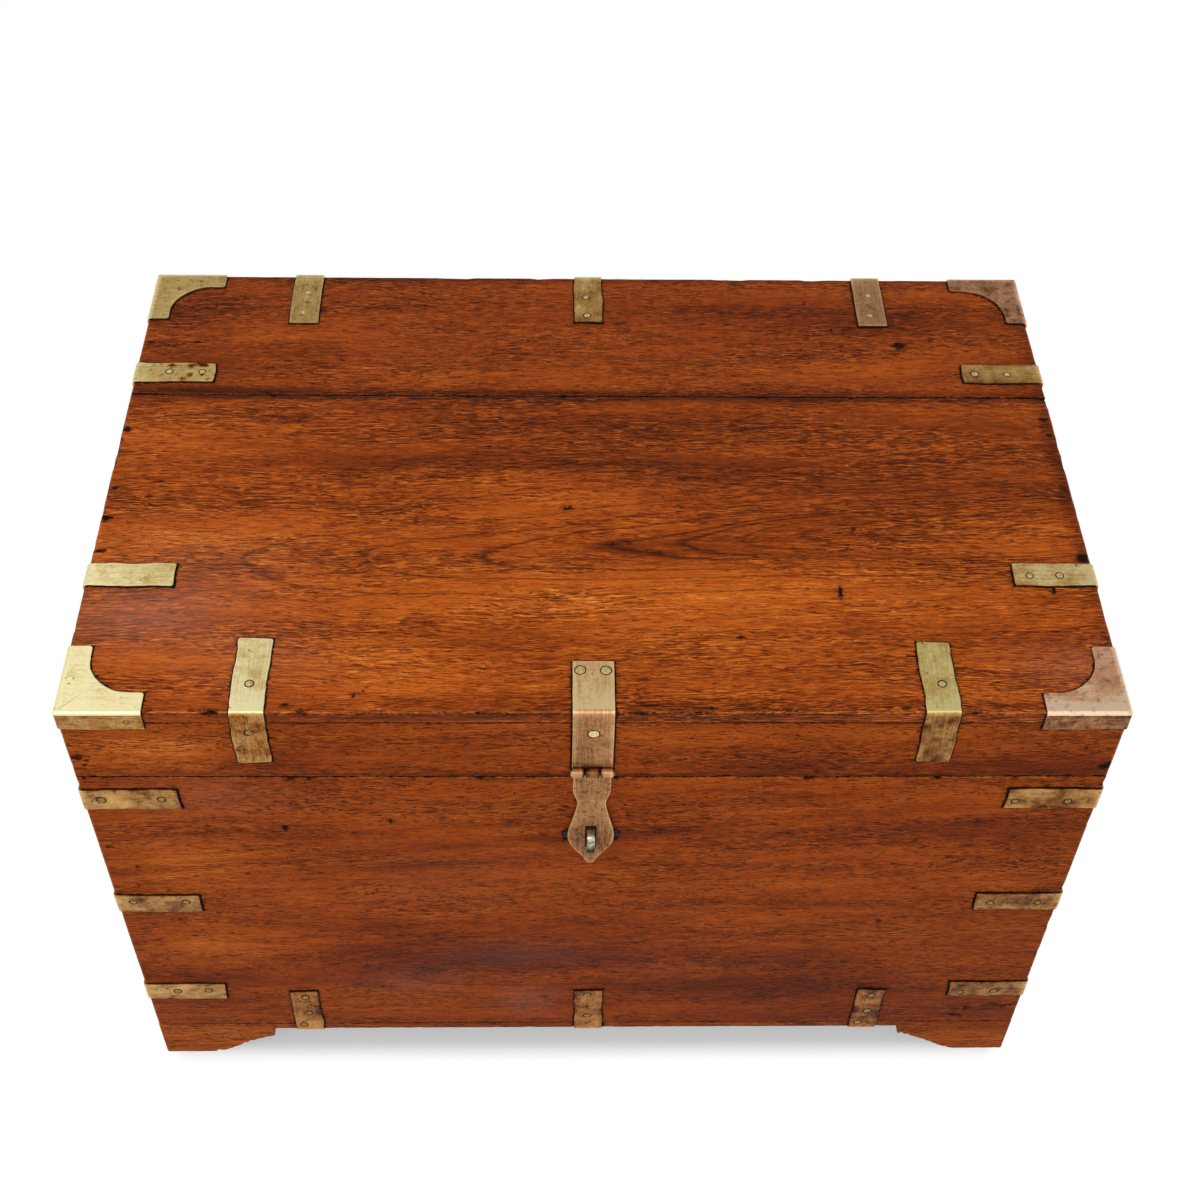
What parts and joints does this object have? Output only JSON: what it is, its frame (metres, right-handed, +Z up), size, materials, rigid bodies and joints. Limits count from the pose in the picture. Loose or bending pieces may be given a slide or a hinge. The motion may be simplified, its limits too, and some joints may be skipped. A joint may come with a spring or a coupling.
{
  "type": "campaign chest",
  "caption": "Brass-bound hardwood travelling chest with a hinged lid, hasp and staple, end handles and a bracket-footed plinth.",
  "frame": {"origin": "on the floor, under the middle of the whole outline", "axes": "+Z up; the front with the hasp looks towards -Y; +X along the chest's width, to the right as seen from the front"},
  "size_m": [0.8004, 0.5136, 0.5002],
  "materials": {
    "wood_top": "waxed satin, orange-brown with dark figure",
    "wood_case": "waxed satin, red-brown with dark streaks",
    "wood_plinth": "waxed, dark red-brown, worn at the feet",
    "wood_bare": "bare, planed and dusty",
    "brass_yellow": "hand-cut sheet, rubbed, scratched",
    "brass_aged": "hand-cut sheet, tarnished olive-brown",
    "brass_red": "hand-cut sheet, pinkish, rubbed",
    "iron_black": "blackened",
    "steel_bright": "rubbed bright"
  },
  "bodies": {
    "box": {"front_board": "wood_case", "back_board": "wood_case", "end_board_left": "wood_case", "end_board_right": "wood_case", "bottom_board": "wood_bare", "plinth_front": "wood_plinth", "plinth_back": "wood_plinth", "plinth_left": "wood_plinth", "plinth_right": "wood_plinth", "corner_strap_front_left_upper": "brass_aged", "corner_strap_front_left_middle": "brass_aged", "corner_strap_front_left_lower": "brass_aged", "corner_strap_front_right_upper": "brass_aged", "corner_strap_front_right_middle": "brass_aged", "corner_strap_front_right_lower": "brass_aged", "corner_strap_back_left_upper": "brass_aged", "corner_strap_back_left_middle": "brass_aged", "corner_strap_back_left_lower": "brass_aged", "corner_strap_back_right_upper": "brass_aged", "corner_strap_back_right_middle": "brass_aged", "corner_strap_back_right_lower": "brass_aged", "foot_strap_front_left": "brass_aged", "foot_strap_front_centre": "brass_aged", "foot_strap_front_right": "brass_aged", "foot_strap_back_left": "brass_aged", "foot_strap_back_centre": "brass_aged", "foot_strap_back_right": "brass_aged", "hinge_leaf_left": "brass_yellow", "hinge_leaf_right": "brass_red", "hinge_pin_left": "brass_aged", "hinge_pin_right": "brass_aged", "staple_plate": "iron_black", "staple": "steel_bright", "handle_plate_left": "brass_aged", "handle_plate_right": "brass_aged"},
    "lid": {"lid_rail_front": "wood_case", "lid_rail_back": "wood_case", "lid_rail_left": "wood_case", "lid_rail_right": "wood_case", "lid_plank_front": "wood_top", "lid_plank_back": "wood_top", "lid_corner_front_left": "brass_yellow", "lid_corner_front_right": "brass_red", "lid_corner_back_left": "brass_yellow", "lid_corner_back_right": "brass_red", "lid_strap_front_left": "brass_yellow", "lid_strap_front_right": "brass_aged", "lid_strap_left_front": "brass_yellow", "lid_strap_left_back": "brass_yellow", "lid_strap_right_front": "brass_aged", "lid_strap_right_back": "brass_aged", "lid_strap_back_centre": "brass_yellow", "hinge_strap_left": "brass_yellow", "hinge_strap_right": "brass_red", "hasp_strap": "brass_red", "hasp_pin": "steel_bright"},
    "hasp": {"hasp_leaf": "brass_red"},
    "bail_left": {"bail_left": "brass_aged"},
    "bail_right": {"bail_right": "brass_aged"}
  },
  "joints": [
    {"name": "lid_hinge", "type": "hinge", "parent": "box", "child": "lid", "pos_m": [0, 0.2531, 0.422], "axis": [-1, 0, 0], "range_deg": [0, 105]},
    {"name": "hasp_hinge", "type": "hinge", "parent": "lid", "child": "hasp", "pos_m": [-0.002, -0.2469, 0.432], "axis": [-1, 0, 0], "range_deg": [0, 175]},
    {"name": "bail_left_pivot", "type": "hinge", "parent": "box", "child": "bail_left", "pos_m": [-0.3927, 0.0032, 0.3], "axis": [0, 1, 0], "range_deg": [0, 175]},
    {"name": "bail_right_pivot", "type": "hinge", "parent": "box", "child": "bail_right", "pos_m": [0.3927, 0.0032, 0.3], "axis": [0, -1, 0], "range_deg": [0, 175]}
  ]
}
